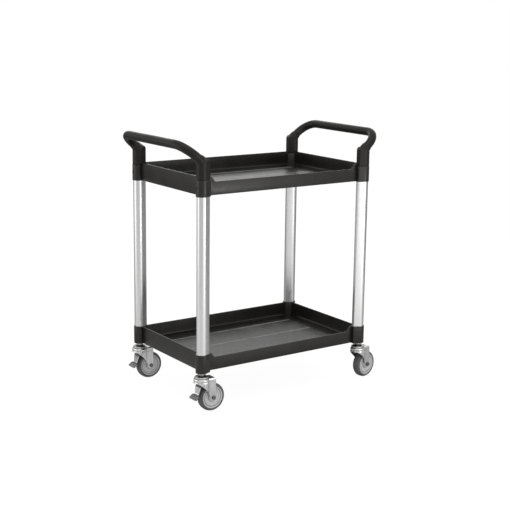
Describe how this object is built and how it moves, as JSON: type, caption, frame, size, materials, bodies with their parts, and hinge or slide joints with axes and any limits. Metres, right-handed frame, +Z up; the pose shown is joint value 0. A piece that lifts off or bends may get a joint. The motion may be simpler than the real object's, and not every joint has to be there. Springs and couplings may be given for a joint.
{
  "type": "food service trolley",
  "caption": "Two-shelf service trolley: deep moulded trays on round aluminium posts, push handles at both ends, swivel castors, foot brakes at one end.",
  "frame": {"origin": "on the floor, under the middle of the trolley", "axes": "+X along the shelves, away from the braked end; +Y across, from the low serving lip to the high rear wall; +Z up"},
  "size_m": [0.8705, 0.4942, 0.9473],
  "materials": {
    "tray_plastic": "fine moulded texture, black polypropylene",
    "handle_plastic": "fine moulded texture, black",
    "post_aluminium": "satin anodised, drawn lengthwise",
    "zinc_steel": "bright zinc plated pressing",
    "bright_steel": "bright plated",
    "wheel_core": "light grey moulding",
    "tyre_rubber": "dark grey non-marking rubber",
    "nylon": "black nylon plug",
    "pad_rubber": "black brake pad"
  },
  "bodies": {
    "chassis": {"lower_tray": "tray_plastic", "upper_tray": "tray_plastic", "left_handle": "handle_plastic", "right_handle": "handle_plastic", "post_front_left": "post_aluminium", "handle_screw_front_left": "nylon", "castor_socket_front_left": "nylon", "castor_stem_front_left": "bright_steel", "bearing_cap_front_left": "bright_steel", "post_front_right": "post_aluminium", "handle_screw_front_right": "nylon", "castor_socket_front_right": "nylon", "castor_stem_front_right": "bright_steel", "bearing_cap_front_right": "bright_steel", "post_rear_left": "post_aluminium", "handle_screw_rear_left": "nylon", "castor_socket_rear_left": "nylon", "castor_stem_rear_left": "bright_steel", "bearing_cap_rear_left": "bright_steel", "post_rear_right": "post_aluminium", "handle_screw_rear_right": "nylon", "castor_socket_rear_right": "nylon", "castor_stem_rear_right": "bright_steel", "bearing_cap_rear_right": "bright_steel"},
    "swivel_front_left": {"fork_front_left": "zinc_steel", "ball_ring_front_left": "bright_steel", "axle_bolt_front_left": "bright_steel", "axle_nut_front_left": "bright_steel", "axle_sleeve_front_left": "bright_steel", "brake_pin_front_left": "bright_steel"},
    "wheel_front_left": {"wheel_core_front_left": "wheel_core", "tyre_front_left": "tyre_rubber"},
    "pedal_front_left": {"brake_lever_front_left": "zinc_steel", "brake_pad_front_left": "pad_rubber"},
    "swivel_front_right": {"fork_front_right": "zinc_steel", "ball_ring_front_right": "bright_steel", "axle_bolt_front_right": "bright_steel", "axle_nut_front_right": "bright_steel", "axle_sleeve_front_right": "bright_steel"},
    "wheel_front_right": {"wheel_core_front_right": "wheel_core", "tyre_front_right": "tyre_rubber"},
    "swivel_rear_left": {"fork_rear_left": "zinc_steel", "ball_ring_rear_left": "bright_steel", "axle_bolt_rear_left": "bright_steel", "axle_nut_rear_left": "bright_steel", "axle_sleeve_rear_left": "bright_steel", "brake_pin_rear_left": "bright_steel"},
    "wheel_rear_left": {"wheel_core_rear_left": "wheel_core", "tyre_rear_left": "tyre_rubber"},
    "pedal_rear_left": {"brake_lever_rear_left": "zinc_steel", "brake_pad_rear_left": "pad_rubber"},
    "swivel_rear_right": {"fork_rear_right": "zinc_steel", "ball_ring_rear_right": "bright_steel", "axle_bolt_rear_right": "bright_steel", "axle_nut_rear_right": "bright_steel", "axle_sleeve_rear_right": "bright_steel"},
    "wheel_rear_right": {"wheel_core_rear_right": "wheel_core", "tyre_rear_right": "tyre_rubber"}
  },
  "joints": [
    {"name": "swivel_front_left", "type": "hinge", "parent": "chassis", "child": "swivel_front_left", "pos_m": [-0.35, -0.2185, 0.12], "axis": [0, 0, 1], "continuous": true},
    {"name": "roll_front_left", "type": "hinge", "parent": "swivel_front_left", "child": "wheel_front_left", "pos_m": [-0.312, -0.2185, 0.05], "axis": [0, 1, 0], "continuous": true},
    {"name": "brake_front_left", "type": "hinge", "parent": "swivel_front_left", "child": "pedal_front_left", "pos_m": [-0.356, -0.2185, 0.101], "axis": [0, -1, 0], "range_deg": [0, 9]},
    {"name": "swivel_front_right", "type": "hinge", "parent": "chassis", "child": "swivel_front_right", "pos_m": [0.35, -0.2185, 0.12], "axis": [0, 0, 1], "continuous": true},
    {"name": "roll_front_right", "type": "hinge", "parent": "swivel_front_right", "child": "wheel_front_right", "pos_m": [0.38717, -0.2106, 0.05], "axis": [-0.2079, 0.9781, 0], "continuous": true},
    {"name": "swivel_rear_left", "type": "hinge", "parent": "chassis", "child": "swivel_rear_left", "pos_m": [-0.35, 0.2185, 0.12], "axis": [0, 0, 1], "continuous": true},
    {"name": "roll_rear_left", "type": "hinge", "parent": "swivel_rear_left", "child": "wheel_rear_left", "pos_m": [-0.312, 0.2185, 0.05], "axis": [0, 1, 0], "continuous": true},
    {"name": "brake_rear_left", "type": "hinge", "parent": "swivel_rear_left", "child": "pedal_rear_left", "pos_m": [-0.356, 0.2185, 0.101], "axis": [0, -1, 0], "range_deg": [0, 9]},
    {"name": "swivel_rear_right", "type": "hinge", "parent": "chassis", "child": "swivel_rear_right", "pos_m": [0.35, 0.2185, 0.12], "axis": [0, 0, 1], "continuous": true},
    {"name": "roll_rear_right", "type": "hinge", "parent": "swivel_rear_right", "child": "wheel_rear_right", "pos_m": [0.388, 0.2185, 0.05], "axis": [0, 1, 0], "continuous": true}
  ]
}
